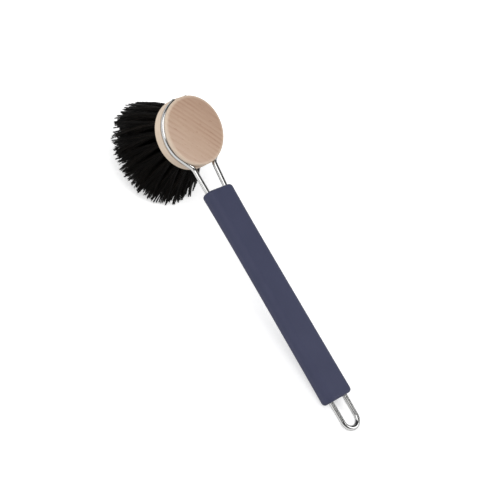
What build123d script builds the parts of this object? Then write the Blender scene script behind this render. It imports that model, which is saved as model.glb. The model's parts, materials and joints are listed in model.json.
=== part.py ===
from build123d import *
from math import asin, atan2, cos, degrees, hypot, pi, radians, sin, sqrt, tan
import os

os.makedirs("parts", exist_ok=True)

# Dish brush: a bent wire handle clasps a turned wooden head, which turns in the clasp
# Lengths are in millimetres and angles in degrees
# The handle lies along X with the head at the +X end, and the bristles point down

# Wire, one length bent into two clasp arms, two necks, two legs and a hanging loop
wire_diameter = 3.5
wire_end_round = 0.5
wire_set_in = 1.6
arm_gap = 9.0
arm_tip_run = 6.0
arm_leaves_ring = 48.0
neck_spacing = 19.2
neck_bend_radius = 5.0
neck_reach = 19.1
neck_rise = 1.5
leg_spacing_head_end = 16.4
leg_spacing_hand_end = 13.5
leg_bend_radius = 20.0
leg_bend_depth = 4.0
loop_reach = 23.4
head_tilt = 15.3

# Silicone grip
grip_length = 164.0
grip_width = 24.2
grip_thickness = 12.0
grip_waist = 0.8
grip_corner_radius = 5.0
grip_rim_round = 2.6
channel_clearance = 0.05
grip_station_share = (0.0, 0.12, 0.27, 0.62, 1.0)
grip_narrowing_share = (0.0, 0.7, 1.0, 0.7, 0.0)
grip_thinning_share = 0.5

# Wooden head
block_diameter = 50.0
block_thickness = 13.2
face_set_in = 0.4
face_above_wire = 4.9
face_round = 1.4
groove_flare = 1.15
groove_edge_round = 0.4
back_round = 0.8
groove_clearance = 0.2

# Tufts, one in the middle and six more in each ring round it, spread in shares of the head's radius
tuft_rings = 3
tufts_per_ring_step = 6
hole_diameter = 3.4
hole_depth = 7.0
hole_pitch_share = 0.22
drill_lean_step = 6.5
plug_clearance = 0.05
strands_per_tuft = 9
strand_length = 34.0
strand_root_radius = 0.28
strand_tip_radius = 0.72
strand_embedding = 1.2
root_spread_share = 0.76
tip_pitch_share = 0.46
tip_cell_share = 0.216
tip_set_to_hand = 2.7
tip_dome = 1.6
tip_ragged_share = 0.09
golden_angle = 137.508

# Anchors, short pieces of flat wire wedged across each hole, over the fold of its tuft
anchor_thickness = 0.4
anchor_height = 1.8
fold_height = 1.0

# How far a cutting tool runs past what it cuts
overrun = 5.0

wire_radius = wire_diameter / 2
block_radius = block_diameter / 2
face_radius = block_radius - face_set_in
ring_radius = block_radius - wire_set_in
back_below_wire = block_thickness - face_above_wire
hole_pitch = block_radius * hole_pitch_share
tip_pitch = block_radius * tip_pitch_share
tip_cell_radius = block_radius * tip_cell_share


def lean_out(angle):
    """Distance from the ring's centre towards the hand and to the side, at an angle round the ring."""
    return ring_radius * cos(radians(angle)), ring_radius * sin(radians(angle))


# The arms leave the ring on a tangent and run straight to the necks
straight_back, straight_side = lean_out(arm_leaves_ring)
straight_run = (straight_side - neck_spacing / 2) / cos(radians(arm_leaves_ring))
neck_to_centre = straight_back + straight_run * sin(radians(arm_leaves_ring))
arm_tip_angle = 180 - degrees((arm_gap / 2 + arm_tip_run) / ring_radius)

# The head's own frame has X away from the hand and Z out of the bare wooden face
tilt = radians(head_tilt)
head_centre = Vector(
    neck_reach + neck_to_centre * cos(tilt),
    0,
    neck_rise + neck_to_centre * sin(tilt),
)
head_frame = Plane(origin=head_centre, x_dir=(cos(tilt), 0, sin(tilt)), z_dir=(-sin(tilt), 0, cos(tilt)))


def corner_arc(before, corner, after, radius):
    """Start, middle and end of the arc that rounds a corner between two straight runs."""
    back = (before - corner).normalized()
    ahead = (after - corner).normalized()
    half = radians(back.get_angle(ahead)) / 2
    centre = corner + (back + ahead).normalized() * (radius / sin(half))
    start = corner + back * (radius / tan(half))
    middle = centre + (corner - centre).normalized() * radius
    end = corner + ahead * (radius / tan(half))
    return start, middle, end


def wire_path():
    """Centre line of the whole wire, from one arm end round the hanging loop to the other."""
    def on_ring(angle):
        back, side = lean_out(angle)
        return head_frame.from_local_coords(Vector(-back, side, 0))

    arm_turn = on_ring(arm_tip_angle)
    arm_middle = on_ring((arm_tip_angle + arm_leaves_ring) / 2)
    arm_start = on_ring(arm_leaves_ring)
    onward_side, onward_back = lean_out(arm_tip_angle)
    onward = head_frame.from_local_coords(Vector(onward_back, onward_side, 0)) - head_centre
    arm_end = arm_turn + onward.normalized() * arm_tip_run
    neck = Vector(neck_reach, neck_spacing / 2, neck_rise)
    leg_top = Vector(-leg_bend_depth, leg_spacing_head_end / 2, 0)
    leg_foot = Vector(-grip_length, leg_spacing_hand_end / 2, 0)

    slope = (leg_top - leg_foot).get_angle(Vector(1, 0, 0))
    inward = sin(radians(slope))
    along = cos(radians(slope))
    loop_run = loop_reach - wire_radius
    loop_radius = (leg_foot.Y * along - loop_run * inward) / (1 - inward)
    loop_apex = Vector(-grip_length - loop_run, 0, 0)
    loop_start = loop_apex + Vector(loop_radius * (1 - inward), loop_radius * along, 0)

    neck_arc = corner_arc(arm_start, neck, leg_top, neck_bend_radius)
    leg_arc = corner_arc(neck, leg_top, leg_foot, leg_bend_radius)
    one_side = [
        (arm_end, arm_turn),
        (arm_turn, arm_middle, arm_start),
        (arm_start, neck_arc[0]),
        neck_arc,
        (neck_arc[2], leg_arc[0]),
        leg_arc,
        (leg_arc[2], loop_start),
    ]
    other_side = [
        tuple(Vector(point.X, -point.Y, point.Z) for point in reversed(run))
        for run in reversed(one_side)
    ]
    loop = [(loop_start, loop_apex, other_side[0][0])]
    edges = [
        Edge.make_line(*run) if len(run) == 2 else Edge.make_three_point_arc(*run)
        for run in one_side + loop + other_side
    ]
    return Wire(edges), loop_apex


def rod_along(path, radius):
    """Round rod that follows a path."""
    start = Plane(origin=path @ 0, z_dir=path % 0)
    return sweep(start * Circle(radius), path=path)


def make_wire_frame(path):
    """Bent wire with its two cut ends rounded."""
    rod = rod_along(path, wire_radius)
    cut_ends = rod.faces().filter_by(GeomType.PLANE)
    return fillet(cut_ends.edges(), wire_end_round)


def make_grip(path):
    """Waisted grip with soft corners and two channels for the legs."""
    sections = []
    for along, narrowing in zip(grip_station_share, grip_narrowing_share):
        station = Plane(origin=(-grip_length * along, 0, 0), x_dir=(0, 1, 0), z_dir=(1, 0, 0))
        width = grip_width - grip_waist * narrowing
        thickness = grip_thickness - grip_waist * grip_thinning_share * narrowing
        sections.append(station * RectangleRounded(width, thickness, grip_corner_radius))
    body = loft(sections)
    ends = body.faces().sort_by(Axis.X)
    body = fillet(ends[0].edges() + ends[-1].edges(), grip_rim_round)
    return body - rod_along(path, wire_radius + channel_clearance)


def round_corner(profile, out, up, radius):
    """Rounds the profile's corner at that distance out from the axis and that height."""
    corner = profile.vertices().sort_by_distance((out, 0, up))[0]
    return fillet(corner, radius)


def make_block_blank():
    """Turned disc before drilling, with a groove for the clasp that flares towards the face."""
    back = Pos(block_radius / 2, -back_below_wire / 2) * Rectangle(block_radius, back_below_wire)
    front = Pos(face_radius / 2, face_above_wire / 2) * Rectangle(face_radius, face_above_wire)
    groove_radius = wire_radius + groove_clearance
    groove = Pos(ring_radius, 0) * Circle(groove_radius)
    groove += Pos(ring_radius + overrun / 2, 0) * Rectangle(overrun, groove_radius * 2)
    profile = Plane.XZ * (back + front - groove)
    profile = round_corner(profile, face_radius, face_above_wire, face_round)
    profile = round_corner(profile, face_radius, groove_radius, groove_flare)
    profile = round_corner(profile, block_radius, -groove_radius, groove_edge_round)
    profile = round_corner(profile, block_radius, -back_below_wire, back_round)
    return revolve(profile, Axis.Z)


def tuft_places():
    """Name, ring, count in the ring and angle of each tuft, from the middle outwards."""
    names = ("center", "inner", "middle", "outer")
    yield "tuft_" + names[0], 0, 0.0
    for ring in range(1, tuft_rings + 1):
        count = ring * tufts_per_ring_step
        for number in range(count):
            angle = 360 / count * (number + 0.5 * (ring % 2))
            yield f"tuft_{names[ring]}_{number + 1}", ring, angle


def hole_frame(ring, angle):
    """Frame at the mouth of a hole, with Z out of the hole and X leaning outwards."""
    turn = radians(angle)
    lean = radians(drill_lean_step * ring)
    mouth = (hole_pitch * ring * cos(turn), hole_pitch * ring * sin(turn), -back_below_wire)
    outward = (cos(lean) * cos(turn), cos(lean) * sin(turn), sin(lean))
    out_of_hole = (sin(lean) * cos(turn), sin(lean) * sin(turn), -cos(lean))
    return Plane(origin=mouth, x_dir=outward, z_dir=out_of_hole)


def make_hole(place, radius, depth):
    """Round tool for a drilled hole, or for the bundle that fills it."""
    return place * Pos(0, 0, (overrun - depth) / 2) * Cylinder(radius, depth + overrun)


def make_anchor(place):
    """Flat wire anchor across the fold, with the corners of its ends against the wall of the hole."""
    width = sqrt(hole_diameter ** 2 - anchor_thickness ** 2)
    above_floor = fold_height + anchor_height / 2
    return place * Pos(0, 0, above_floor - hole_depth) * Box(anchor_thickness, width, anchor_height)


def strand_ends(ring, angle, index, number):
    """Root and tip of one strand, fanned out so that no two strands cross."""
    turn = radians(angle)
    spread = sqrt((index + 0.5) / strands_per_tuft)
    round_tuft = turn + radians(golden_angle * index)
    plug_radius = hole_diameter / 2 - plug_clearance
    root_offset = plug_radius * root_spread_share * spread
    tip_offset = tip_cell_radius * spread
    root_x = hole_pitch * ring * cos(turn) + root_offset * cos(round_tuft)
    root_y = hole_pitch * ring * sin(turn) + root_offset * sin(round_tuft)
    tip_x = tip_pitch * ring * cos(turn) + tip_offset * cos(round_tuft)
    tip_y = tip_pitch * ring * sin(turn) + tip_offset * sin(round_tuft)
    outermost = tip_pitch * tuft_rings + tip_cell_radius
    dome = tip_dome * (hypot(tip_x, tip_y) / outermost) ** 2
    ragged = tip_ragged_share * ((number * golden_angle / 360 + index * sqrt(2)) % 1)
    root = Vector(root_x, root_y, -back_below_wire)
    tip = Vector(tip_x - tip_set_to_hand, tip_y, -back_below_wire - strand_length + dome)
    return root, root + (tip - root) * (1 - ragged)


def make_strand(root, tip):
    """Three-sided strand that thickens into a lock of hair, starting inside its bundle."""
    along = (tip - root).normalized()
    start = Plane(origin=root - along * strand_embedding, z_dir=along) * RegularPolygon(strand_root_radius, 3)
    end = Plane(origin=tip, z_dir=along) * RegularPolygon(strand_tip_radius, 3)
    return ConvexPolyhedron([corner.center() for corner in start.vertices() + end.vertices()])


def make_tuft(blank, place, ends):
    """Folded bundle in its hole, open round the anchor, fused with its strands."""
    bundle = make_hole(place, hole_diameter / 2 - plug_clearance, hole_depth - plug_clearance)
    bundle = (bundle & blank) - make_anchor(place)
    return bundle.solid().fuse(*[make_strand(root, tip).solid() for root, tip in ends]).solid()


# Build every piece, the handle in its own frame and the head in the head's frame
path, loop_apex = wire_path()
blank = make_block_blank()
handle_pieces = {"wire_frame": make_wire_frame(path), "grip": make_grip(path)}

holes = []
anchors = []
tufts = {}
tips = []
for number, (name, ring, angle) in enumerate(tuft_places()):
    place = hole_frame(ring, angle)
    ends = [strand_ends(ring, angle, index, number) for index in range(strands_per_tuft)]
    holes.append(make_hole(place, hole_diameter / 2, hole_depth))
    anchors.append(make_anchor(place).solid())
    tufts[name] = make_tuft(blank, place, ends)
    tips += [tip for root, tip in ends]
head_pieces = {
    "head_block": blank - holes,
    "tuft_anchors": Compound(anchors),
    **tufts,
}


def rest_slope():
    """Slope of the handle when it lies on its lowest strand and on the loop's end."""
    slopes = []
    for tip in tips:
        ahead = head_frame.from_local_coords(tip) - loop_apex
        slopes.append(atan2(-ahead.Z, ahead.X) - asin(wire_radius / hypot(ahead.X, ahead.Z)))
    return degrees(max(slopes))


# Lay the brush down: its lowest strand and the loop's end touch the ground
handle_slope = rest_slope()
lying = Rot(0, -handle_slope, 0)
placed = {name: lying * piece for name, piece in handle_pieces.items()}
placed.update({name: lying * (head_frame * piece) for name, piece in head_pieces.items()})
box = Compound(list(placed.values())).bounding_box()
to_ground = Pos(-box.center().X, -box.center().Y, -box.min.Z)

for name, piece in placed.items():
    export_step(to_ground * piece, f"parts/{name}.step")

wire_section = pi * wire_radius ** 2
print(f"wire volume {handle_pieces['wire_frame'].volume:.1f}, section times length {wire_section * path.length:.1f}")
print(f"handle slope {handle_slope:.2f}, size {box.size.X:.1f} x {box.size.Y:.1f} x {box.size.Z:.1f}")
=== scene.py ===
import json
import random
from math import cos, hypot, pi, radians, sin, sqrt

import bpy
from mathutils import Matrix, Quaternion, Vector

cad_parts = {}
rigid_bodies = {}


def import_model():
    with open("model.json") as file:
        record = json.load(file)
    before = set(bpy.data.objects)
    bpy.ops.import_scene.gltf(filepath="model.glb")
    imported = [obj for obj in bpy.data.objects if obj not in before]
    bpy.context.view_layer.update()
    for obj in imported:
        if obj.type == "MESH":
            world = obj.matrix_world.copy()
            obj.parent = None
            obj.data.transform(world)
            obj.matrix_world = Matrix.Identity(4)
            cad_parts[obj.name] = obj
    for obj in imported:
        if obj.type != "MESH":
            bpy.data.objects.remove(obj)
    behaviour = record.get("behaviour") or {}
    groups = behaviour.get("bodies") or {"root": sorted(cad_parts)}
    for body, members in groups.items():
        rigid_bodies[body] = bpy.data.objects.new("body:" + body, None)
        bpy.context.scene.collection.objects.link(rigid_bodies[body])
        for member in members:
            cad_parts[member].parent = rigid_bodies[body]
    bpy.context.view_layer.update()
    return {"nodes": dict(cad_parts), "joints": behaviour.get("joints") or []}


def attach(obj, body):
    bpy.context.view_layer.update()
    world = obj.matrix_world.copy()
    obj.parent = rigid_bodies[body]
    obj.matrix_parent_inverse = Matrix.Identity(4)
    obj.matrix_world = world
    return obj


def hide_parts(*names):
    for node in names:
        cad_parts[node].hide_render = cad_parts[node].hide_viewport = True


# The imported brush, alone in the scene
for leftover in list(bpy.data.objects):
    bpy.data.objects.remove(leftover)
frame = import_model()

# Lengths are in metres. The head's own frame comes from the joint that it turns on:
# up out of the wooden face, ahead away from the hand, and side across the brush
head_joint = frame["joints"][0]
head_centre = Vector(head_joint["pos_m"])
head_up = Vector(head_joint["axis"]).normalized()
head_side = Vector((0, 1, 0))
head_ahead = head_side.cross(head_up).normalized()
head_turn = Matrix((head_ahead, head_side, head_up)).transposed()

# Tufts, one in the middle and three rings round it, in holes that lean outwards
tufts_per_ring_step = 6
mouth_below_wire = 0.0083
hole_radius = 0.0017
hole_pitch = 0.0055

# The mass of hair: its tips spread over an oval that lies towards the hand,
# and the hair is longer away from the hand, where nothing presses on it
tips_reach_ahead = 0.0403
tips_reach_side = 0.0350
tips_set_to_hand = 0.0045
hair_length = 0.0391
hair_slope = 0.0060
tips_dome = 0.0006
tuft_pitch_share = 0.286
tuft_cell_share = 0.225

# Hair, in locks that share a tip
hair_seed = 37
locks_per_tuft = 64
hairs_per_lock = 12
hair_radius = 0.00019
hair_tip_share = 0.5
hair_cut_shares = (0.25, 0.5, 0.75)
hair_root_depth = 0.0008
root_disc_share = 0.84
hair_bow = 0.0011
lock_width = 0.0006
lock_ragged_share = 0.03
hair_ragged_share = 0.025
straight_run_share = 0.36
splay_step = radians(11)
ground_clearance = 0.0003


def from_head(ahead, side, up):
    """Point in the row frame from the head's own frame."""
    return head_centre + head_ahead * ahead + head_side * side + head_up * up


# Camera, at the photograph's angle, looking down on the wooden face
camera_aim = Vector((-0.0057, 0.0130, 0.0428))
camera_distance = 0.850
camera_azimuth = radians(203.5)
camera_elevation = radians(45.33)
camera_roll = radians(34.93)
camera_lens_mm = 92.13
camera_sensor_mm = 36.0
camera_near_limit = 0.01
camera_far_limit = 20.0


def make_camera():
    """Camera turned and placed as the photograph was taken."""
    camera_data = bpy.data.cameras.new("photo_camera")
    camera_data.lens = camera_lens_mm
    camera_data.sensor_width = camera_sensor_mm
    camera_data.clip_start = camera_near_limit
    camera_data.clip_end = camera_far_limit
    camera = bpy.data.objects.new("photo_camera", camera_data)
    bpy.context.scene.collection.objects.link(camera)
    towards_camera = Vector((
        sin(camera_azimuth) * cos(camera_elevation),
        -cos(camera_azimuth) * cos(camera_elevation),
        sin(camera_elevation),
    ))
    level_view = (-towards_camera).to_track_quat("-Z", "Y")
    camera.rotation_mode = "QUATERNION"
    camera.rotation_quaternion = level_view @ Quaternion((0, 0, 1), camera_roll)
    camera.location = camera_aim + towards_camera * camera_distance
    bpy.context.scene.camera = camera


# Materials
def new_material(name):
    """Empty material, with its nodes, links and Principled shader."""
    material = bpy.data.materials.new(name)
    material.use_nodes = True
    nodes = material.node_tree.nodes
    links = material.node_tree.links
    return material, nodes, links, nodes["Principled BSDF"]


def feed(links, node, **values):
    """Links outputs to a node's sockets, and sets the others to numbers or colours."""
    for name, value in values.items():
        socket = node.inputs[name.replace("_", " ")]
        if isinstance(value, bpy.types.NodeSocket):
            links.new(value, socket)
        elif socket.type == "RGBA":
            socket.default_value = (*value, 1)
        else:
            socket.default_value = value


def object_place(nodes):
    """Object coordinates."""
    return nodes.new("ShaderNodeTexCoord").outputs["Object"]


def noise(nodes, links, where, scale, detail, roughness=0.55):
    """Noise at a scale in turns per metre."""
    texture = nodes.new("ShaderNodeTexNoise")
    feed(links, texture, Vector=where, Scale=scale, Detail=detail, Roughness=roughness)
    return texture.outputs["Fac"]


def ramp(nodes, links, value, stops):
    """Colours or greys along a value, given as pairs of place and colour."""
    colours = nodes.new("ShaderNodeValToRGB")
    points = colours.color_ramp.elements
    while len(points) < len(stops):
        points.new(0.5)
    for point, (place, colour) in zip(points, stops):
        point.position = place
        point.color = (*colour, 1)
    feed(links, colours, Fac=value)
    return colours.outputs["Color"]


def mixed(nodes, links, blend, amount, first, second):
    """Two colours blended, where amount is a number or an output."""
    mix = nodes.new("ShaderNodeMix")
    mix.data_type = "RGBA"
    mix.blend_type = blend
    feed(links, mix, Factor=amount, A=first, B=second)
    return next(output for output in mix.outputs if output.type == "RGBA")


def number_range(nodes, links, value, target, source=(0.0, 1.0)):
    """A value moved from its source range to a target range."""
    moved = nodes.new("ShaderNodeMapRange")
    for side, number in zip(("From Min", "From Max", "To Min", "To Max"), (*source, *target)):
        moved.inputs[side].default_value = number
    feed(links, moved, Value=value)
    return moved.outputs["Result"]


def worked_out(nodes, links, operation, *terms):
    """A result of a Math node, where each term is a number or an output."""
    step = nodes.new("ShaderNodeMath")
    step.operation = operation
    for socket, term in zip(step.inputs, terms):
        if isinstance(term, bpy.types.NodeSocket):
            links.new(term, socket)
        else:
            socket.default_value = term
    return step.outputs["Value"]


def bump(nodes, links, shader, height, strength, distance):
    """Fine relief on a shader."""
    relief = nodes.new("ShaderNodeBump")
    feed(links, relief, Strength=strength, Distance=distance, Height=height)
    feed(links, shader, Normal=relief.outputs["Normal"])


# The middle of a noise, where most of it lies, and the two ends of a ramp along it
noise_middle = (0.3, 0.7)

# Steel of the wire and of the anchors
steel_tones = ((0.60, 0.60, 0.595), (0.69, 0.69, 0.68))
# Painted reflection: a dark edge tint darkens the wire's grazing edges, standing in for dark surroundings
# seen in the polished wire.
steel_painted_dark_edge = (0.12, 0.12, 0.12)
steel_roughness = (0.17, 0.20)
steel_relief = 0.00005
anchor_tones = ((0.4, 0.4, 0.39), (0.55, 0.55, 0.54))
anchor_roughness = (0.3, 0.5)

# Silicone of the grip
silicone_tones = ((0.046, 0.051, 0.098), (0.052, 0.057, 0.108))
silicone_roughness = (0.52, 0.66)
silicone_relief = 0.00008


def polished_steel():
    """Polished stainless wire, with faint marks from drawing and use."""
    material, nodes, links, shader = new_material("polished_steel")
    where = object_place(nodes)
    marks = noise(nodes, links, where, scale=900.0, detail=6.0, roughness=0.7)
    smears = noise(nodes, links, where, scale=60.0, detail=3.0)
    tone = ramp(nodes, links, smears, list(zip(noise_middle, steel_tones)))
    roughness = number_range(nodes, links, marks, steel_roughness, noise_middle)
    # The dark edge tint paints dark reflections along the wire's edges.
    feed(links, shader, Metallic=1.0, Specular_Tint=steel_painted_dark_edge, Base_Color=tone, Roughness=roughness)
    bump(nodes, links, shader, marks, strength=0.008, distance=steel_relief)
    return material


def anchor_wire_steel():
    """Dull flat wire of the anchors in the holes."""
    material, nodes, links, shader = new_material("anchor_wire_steel")
    dull = noise(nodes, links, object_place(nodes), scale=1800.0, detail=4.0)
    tone = ramp(nodes, links, dull, list(zip(noise_middle, anchor_tones)))
    roughness = number_range(nodes, links, dull, anchor_roughness)
    feed(links, shader, Metallic=1.0, Base_Color=tone, Roughness=roughness)
    return material


def slate_silicone():
    """Matte slate-blue silicone with a fine moulded grain."""
    material, nodes, links, shader = new_material("slate_silicone")
    where = object_place(nodes)
    cloud = noise(nodes, links, where, scale=35.0, detail=3.0)
    grain = noise(nodes, links, where, scale=2600.0, detail=2.0)
    tone = ramp(nodes, links, cloud, list(zip(noise_middle, silicone_tones)))
    roughness = number_range(nodes, links, grain, silicone_roughness, noise_middle)
    feed(links, shader, Base_Color=tone, Roughness=roughness)
    feed(links, shader, Specular_IOR_Level=0.25, Sheen_Weight=0.03, Sheen_Roughness=0.5)
    bump(nodes, links, shader, grain, strength=0.18, distance=silicone_relief)
    return material


# Beech, sawn so that the growth rings cross the face slantwise, in the head's own frame.
# The wave node goes round once in 2 pi / (20 * scale)
ring_width = 0.0024
wave_node_factor = 20
pith_place = (-0.020, 0.050, -0.045)
grain_turn = radians(42)
grain_dip = radians(3)
heartwood_edge = -0.076
sapwood_edge = -0.026
# Painted light: the rim of the face and the side of the block are made paler, for the light that they catch
# from the side and from the floor.
pale_rim_start = 0.0222
pale_rim_full = 0.0247
pale_rim_share = 0.7
beech_tones = ((0.15, (0.44, 0.285, 0.198)), (0.5, (0.52, 0.358, 0.258)), (0.85, (0.60, 0.438, 0.335)))
beech_roughness = (0.45, 0.62)
beech_relief = 0.0001
late_wood_shares = ((0.0, 0.5), (0.15, 0.05), (0.5, 0.0), (1.0, 0.7))
late_wood_stain = (0.74, 0.62, 0.57)
streak_stain = (0.86, 0.80, 0.76)
pore_stain = (0.78, 0.68, 0.62)
fleck_stain = (0.66, 0.50, 0.42)
rim_painted_light_tone = (0.80, 0.68, 0.54)


def placed_in(nodes, links, place, location, rotation):
    """Coordinates seen from a frame that is moved and turned."""
    mapping = nodes.new("ShaderNodeMapping")
    mapping.vector_type = "TEXTURE"
    feed(links, mapping, Vector=place, Location=location, Rotation=rotation)
    return mapping.outputs["Vector"]


def grain_noise(nodes, links, grain, across_share, **kind):
    """Noise drawn out along the grain, whose width is a share of its length."""
    mapping = nodes.new("ShaderNodeMapping")
    feed(links, mapping, Vector=grain, Scale=(across_share, 1, 1))
    return noise(nodes, links, mapping.outputs["Vector"], **kind)


def growth_rings(nodes, links, place):
    """Growth rings round the pith."""
    rings = nodes.new("ShaderNodeTexWave")
    rings.wave_type = "RINGS"
    rings.rings_direction = "X"
    rings.wave_profile = "SAW"
    feed(links, rings, Vector=place, Scale=2 * pi / (wave_node_factor * ring_width))
    feed(links, rings, Distortion=2.2, Detail=1.0, Detail_Scale=0.22)
    return rings.outputs["Fac"]


def distance_from_axis(nodes, links, place):
    """How far a place lies from the head's own axis."""
    flat = nodes.new("ShaderNodeVectorMath")
    flat.operation = "MULTIPLY"
    flat.inputs[1].default_value = (1, 1, 0)
    links.new(place, flat.inputs[0])
    length = nodes.new("ShaderNodeVectorMath")
    length.operation = "LENGTH"
    links.new(flat.outputs["Vector"], length.inputs[0])
    return length.outputs["Value"]


def bare_beech():
    """Bare beech, with growth lines that cross the face in shallow curves and short ray flecks."""
    material, nodes, links, shader = new_material("bare_beech")
    in_head = placed_in(nodes, links, object_place(nodes), head_centre, head_turn.to_euler())
    grain = placed_in(nodes, links, in_head, pith_place, (0, grain_dip, grain_turn))
    streaks = grain_noise(nodes, links, grain, across_share=0.05, scale=420.0, detail=4.0, roughness=0.6)
    pores = grain_noise(nodes, links, grain, across_share=0.04, scale=3200.0, detail=3.0, roughness=0.7)
    flecks = grain_noise(nodes, links, grain, across_share=0.22, scale=1500.0, detail=1.0, roughness=0.5)
    patches = grain_noise(nodes, links, grain, across_share=0.5, scale=60.0, detail=2.0)

    across = nodes.new("ShaderNodeSeparateXYZ")
    feed(links, across, Vector=grain)
    depth = number_range(nodes, links, across.outputs["Y"], (0.0, 1.0), (heartwood_edge, sapwood_edge))
    drift = mixed(nodes, links, "MIX", 0.3, depth, patches)
    late_wood = ramp(nodes, links, growth_rings(nodes, links, grain),
                     [(place, (grey, grey, grey)) for place, grey in late_wood_shares])
    faded = number_range(nodes, links, patches, (0.12, 1.0), (0.38, 0.62))
    late_wood = mixed(nodes, links, "MULTIPLY", 1.0, late_wood, faded)

    tone = ramp(nodes, links, drift, beech_tones)
    for amount, stain in (
        (number_range(nodes, links, streaks, (0.0, 0.5), (0.4, 0.75)), streak_stain),
        (late_wood, late_wood_stain),
        (number_range(nodes, links, pores, (0.0, 0.5), (0.55, 0.8)), pore_stain),
        (number_range(nodes, links, flecks, (0.0, 0.6), (0.66, 0.78)), fleck_stain),
    ):
        tone = mixed(nodes, links, "MULTIPLY", amount, tone, stain)
    # Painted light: the tone turns paler towards the rim and down the side.
    rim_painted_light = number_range(nodes, links, distance_from_axis(nodes, links, in_head),
                               (0.0, pale_rim_share), (pale_rim_start, pale_rim_full))
    tone = mixed(nodes, links, "MIX", rim_painted_light, tone, rim_painted_light_tone)
    roughness = number_range(nodes, links, streaks, beech_roughness)
    feed(links, shader, Base_Color=tone, Roughness=roughness, Specular_IOR_Level=0.4)
    bump(nodes, links, shader, pores, strength=0.1, distance=beech_relief)
    return material


# Horsehair, from the blackest hair to the brownest
hair_tones = (
    (0.0, (0.0012, 0.001, 0.0009)),
    (0.5, (0.0028, 0.0023, 0.0019)),
    (0.8, (0.0075, 0.0056, 0.0042)),
    (0.97, (0.021, 0.0155, 0.0115)),
)
hair_shadow = (0.5, 0.5, 0.5)
hair_roughness = (0.55, 0.38)


def black_horsehair():
    """Black horsehair, where some hairs are browner and a few catch the light."""
    material, nodes, links, shader = new_material("black_horsehair")
    each_hair = nodes.new("ShaderNodeAttribute")
    each_hair.attribute_name = "hair_shade"
    shade = each_hair.outputs["Fac"]
    along_hair = noise(nodes, links, object_place(nodes), scale=260.0, detail=2.0, roughness=0.6)
    darker = number_range(nodes, links, along_hair, (0.0, 0.8), (0.35, 0.7))
    tone = mixed(nodes, links, "MULTIPLY", darker, ramp(nodes, links, shade, hair_tones), hair_shadow)
    roughness = number_range(nodes, links, shade, hair_roughness)
    feed(links, shader, Base_Color=tone, Roughness=roughness, Specular_IOR_Level=0.1)
    return material


def dress(node, material):
    """Gives a CAD node its finished material."""
    slots = frame["nodes"][node].data.materials
    slots.clear()
    slots.append(material)


# Hair, one blank that every hair of the head is a bent copy of
def make_hair_blank():
    """One straight hair of unit length, a three-sided taper cut across so that it can curve."""
    bpy.ops.object.select_all(action="DESELECT")
    bpy.ops.mesh.primitive_cone_add(
        vertices=3, radius1=1.0, radius2=hair_tip_share, depth=1.0, end_fill_type="NGON", location=(0, 0, 0.5)
    )
    blank = bpy.context.object
    bpy.ops.object.transform_apply(location=True, rotation=True, scale=True)
    bpy.ops.object.mode_set(mode="EDIT")
    for height in hair_cut_shares:
        bpy.ops.mesh.select_all(action="SELECT")
        bpy.ops.mesh.bisect(plane_co=(0, 0, height), plane_no=(0, 0, 1))
    bpy.ops.object.mode_set(mode="OBJECT")
    points = [vertex.co.copy() for vertex in blank.data.vertices]
    faces = [tuple(face.vertices) for face in blank.data.polygons]
    bpy.data.objects.remove(blank)
    return points, faces


def tuft_places():
    """Node name, ring and angle of each tuft, from the middle outwards."""
    yield "tuft_center", 0, 0.0
    for ring, ring_name in enumerate(("inner", "middle", "outer"), start=1):
        count = ring * tufts_per_ring_step
        for number in range(count):
            yield f"tuft_{ring_name}_{number + 1}", ring, 2 * pi / count * (number + 0.5 * (ring % 2))


def in_disc(chance, radius):
    """Random place in a disc."""
    away = radius * sqrt(chance.random())
    turn = chance.uniform(0, 2 * pi)
    return away * cos(turn), away * sin(turn)


def lock_tip(chance, ring, angle):
    """Place of a lock's tip over the oval, in shares of its reach."""
    while True:
        stray_x, stray_y = in_disc(chance, tuft_cell_share)
        share_x = tuft_pitch_share * ring * cos(angle) + stray_x
        share_y = tuft_pitch_share * ring * sin(angle) + stray_y
        if hypot(share_x, share_y) <= 1:
            return share_x, share_y


def bend_hair(blank_points, root, leaving, tip, twist):
    """Points of a hair that leaves its hole straight and then bends towards its tip."""
    along = (tip - root).normalized()
    across = along.cross(head_side).normalized()
    turned = Quaternion(along, twist)
    first_way = turned @ across
    second_way = turned @ along.cross(across)
    spine = {}
    for point in blank_points:
        share = round(point.z, 2)
        if share not in spine:
            spine[share] = root * (1 - share) ** 2 + leaving * (2 * share * (1 - share)) + tip * share ** 2
        yield spine[share] + (first_way * point.x + second_way * point.y) * hair_radius


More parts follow.
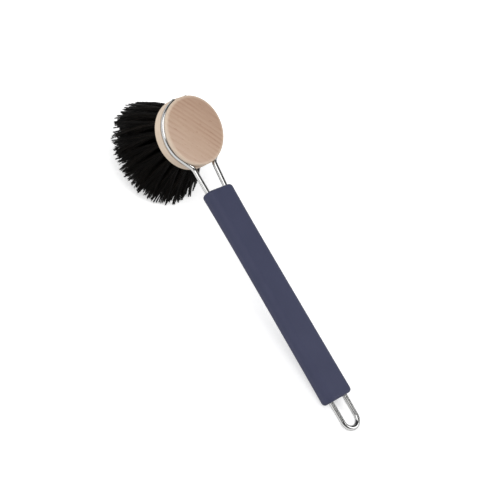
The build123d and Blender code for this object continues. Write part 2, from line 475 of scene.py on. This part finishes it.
def make_tuft(node, ring, angle, blank, material, chance):
    """Full tuft of hair in place of one plain tuft."""
    blank_points, blank_faces = blank
    hole_x, hole_y = hole_pitch * ring * cos(angle), hole_pitch * ring * sin(angle)
    splay = splay_step * ring
    out_of_hole = from_head(sin(splay) * cos(angle), sin(splay) * sin(angle), -cos(splay)) - head_centre
    points = []
    faces = []
    shades = []
    for lock in range(locks_per_tuft):
        share_x, share_y = lock_tip(chance, ring, angle)
        edge_share = hypot(share_x, share_y)
        lock_length = hair_length + hair_slope * share_x - tips_dome * edge_share ** 2
        lock_cut = 1 - lock_ragged_share * chance.random()
        for hair in range(hairs_per_lock):
            root_x, root_y = in_disc(chance, hole_radius * root_disc_share)
            root = from_head(hole_x + root_x, hole_y + root_y, hair_root_depth - mouth_below_wire)
            stray_x, stray_y = in_disc(chance, lock_width)
            tip = from_head(
                tips_reach_ahead * share_x - tips_set_to_hand + stray_x,
                tips_reach_side * share_y + stray_y,
                -mouth_below_wire - lock_length,
            )
            tip = root + (tip - root) * (lock_cut * (1 - hair_ragged_share * chance.random()))
            tip.z = max(tip.z, ground_clearance)
            bow = Vector([chance.uniform(-hair_bow, hair_bow) for axis in range(3)])
            leaving = root + out_of_hole * ((tip - root).length * straight_run_share) + bow
            first = len(points)
            points += bend_hair(blank_points, root, leaving, tip, chance.uniform(0, 2 * pi))
            faces += [tuple(first + corner for corner in face) for face in blank_faces]
            shades += [chance.random()] * len(blank_points)
    mesh = bpy.data.meshes.new(node + "_hair")
    mesh.from_pydata(points, [], faces)
    mesh.attributes.new("hair_shade", "FLOAT", "POINT").data.foreach_set("value", shades)
    mesh.shade_smooth()
    mesh.materials.append(material)
    tuft = bpy.data.objects.new(node + "_hair", mesh)
    bpy.context.scene.collection.objects.link(tuft)
    return tuft


def make_horsehair():
    """All the tufts, each standing for its own node."""
    chance = random.Random(hair_seed)
    blank = make_hair_blank()
    material = black_horsehair()
    for node, ring, angle in tuft_places():
        tuft = make_tuft(node, ring, angle, blank, material, chance)
        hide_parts(node)
        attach(tuft, "head")


# Pale floor and plain studio light. How high the walls and the ceiling lie is the share
# of the way up that a direction points, from 0 level to 1 overhead
white = (1, 1, 1)
floor_size = 6.0
floor_grey = (0.8, 0.8, 0.8)
floor_glow_to_camera = 0.5
floor_glow_in_gloss = 0.25
daylight_strength = 0.5
backdrop_strength = 1.0
ceiling_strength = 0.05
walls_top_share = 0.22
ceiling_start_share = 0.36


def ray_kinds(nodes):
    """Outputs that tell camera, glossy and transmission rays."""
    path = nodes.new("ShaderNodeLightPath")
    return [path.outputs[f"Is {kind} Ray"] for kind in ("Camera", "Glossy", "Transmission")]


def make_floor():
    """Pale floor that the camera sees as white, with the brush's soft shadow on it."""
    bpy.ops.object.select_all(action="DESELECT")
    bpy.ops.mesh.primitive_plane_add(size=floor_size, location=(0, 0, 0))
    floor = bpy.context.object
    floor.name = "studio_floor"
    material, nodes, links, shader = new_material("studio_floor")
    feed(links, shader, Base_Color=floor_grey, Roughness=0.9, Specular_IOR_Level=0.1)
    to_camera, glossy, transmitted = ray_kinds(nodes)
    reflected = worked_out(nodes, links, "MAXIMUM", glossy, transmitted)
    faint = worked_out(nodes, links, "MULTIPLY", reflected, floor_glow_in_gloss)
    lit = worked_out(nodes, links, "MULTIPLY_ADD", to_camera, floor_glow_to_camera, faint)
    glow = nodes.new("ShaderNodeEmission")
    feed(links, glow, Color=white, Strength=lit)
    both = nodes.new("ShaderNodeAddShader")
    links.new(shader.outputs[0], both.inputs[0])
    links.new(glow.outputs[0], both.inputs[1])
    links.new(both.outputs[0], nodes["Material Output"].inputs["Surface"])
    floor.data.materials.append(material)


def make_world():
    """White studio that lights the brush at a plain level, with a dark ceiling that only gloss shows."""
    world = bpy.data.worlds.new("studio")
    bpy.context.scene.world = world
    world.use_nodes = True
    nodes = world.node_tree.nodes
    links = world.node_tree.links
    to_camera, glossy, transmitted = ray_kinds(nodes)
    daylight = nodes["Background"]
    feed(links, daylight, Color=white, Strength=daylight_strength)

    height = nodes.new("ShaderNodeSeparateXYZ")
    feed(links, height, Vector=nodes.new("ShaderNodeTexCoord").outputs["Generated"])
    walls = number_range(nodes, links, height.outputs["Z"], (backdrop_strength, ceiling_strength),
                         (walls_top_share, ceiling_start_share))
    shown = nodes.new("ShaderNodeMix")
    feed(links, shown, Factor=to_camera, A=walls, B=backdrop_strength)
    backdrop = nodes.new("ShaderNodeBackground")
    feed(links, backdrop, Color=white, Strength=shown.outputs["Result"])

    seen = worked_out(nodes, links, "MAXIMUM", to_camera, glossy)
    seen = worked_out(nodes, links, "MAXIMUM", seen, transmitted)
    both = nodes.new("ShaderNodeMixShader")
    feed(links, both, Fac=seen)
    links.new(daylight.outputs[0], both.inputs[1])
    links.new(backdrop.outputs[0], both.inputs[2])
    links.new(both.outputs[0], nodes["World Output"].inputs["Surface"])


def make_softbox(name, place, size, power):
    """Square area lamp that faces the brush."""
    lamp_data = bpy.data.lights.new(name, "AREA")
    lamp_data.shape = "SQUARE"
    lamp_data.size = size
    lamp_data.energy = power
    lamp = bpy.data.objects.new(name, lamp_data)
    bpy.context.scene.collection.objects.link(lamp)
    lamp.location = place
    lamp.rotation_mode = "QUATERNION"
    lamp.rotation_quaternion = (-Vector(place)).to_track_quat("-Z", "Y")


bpy.context.scene.view_settings.view_transform = "Standard"
make_camera()
dress("wire_frame", polished_steel())
dress("grip", slate_silicone())
dress("head_block", bare_beech())
dress("tuft_anchors", anchor_wire_steel())
make_horsehair()
make_floor()
make_world()
make_softbox("key_softbox", place=(0.35, 0.8, 1.2), size=1.4, power=12.0)
make_softbox("fill_softbox", place=(-0.8, -0.8, 1.0), size=0.8, power=6.0)
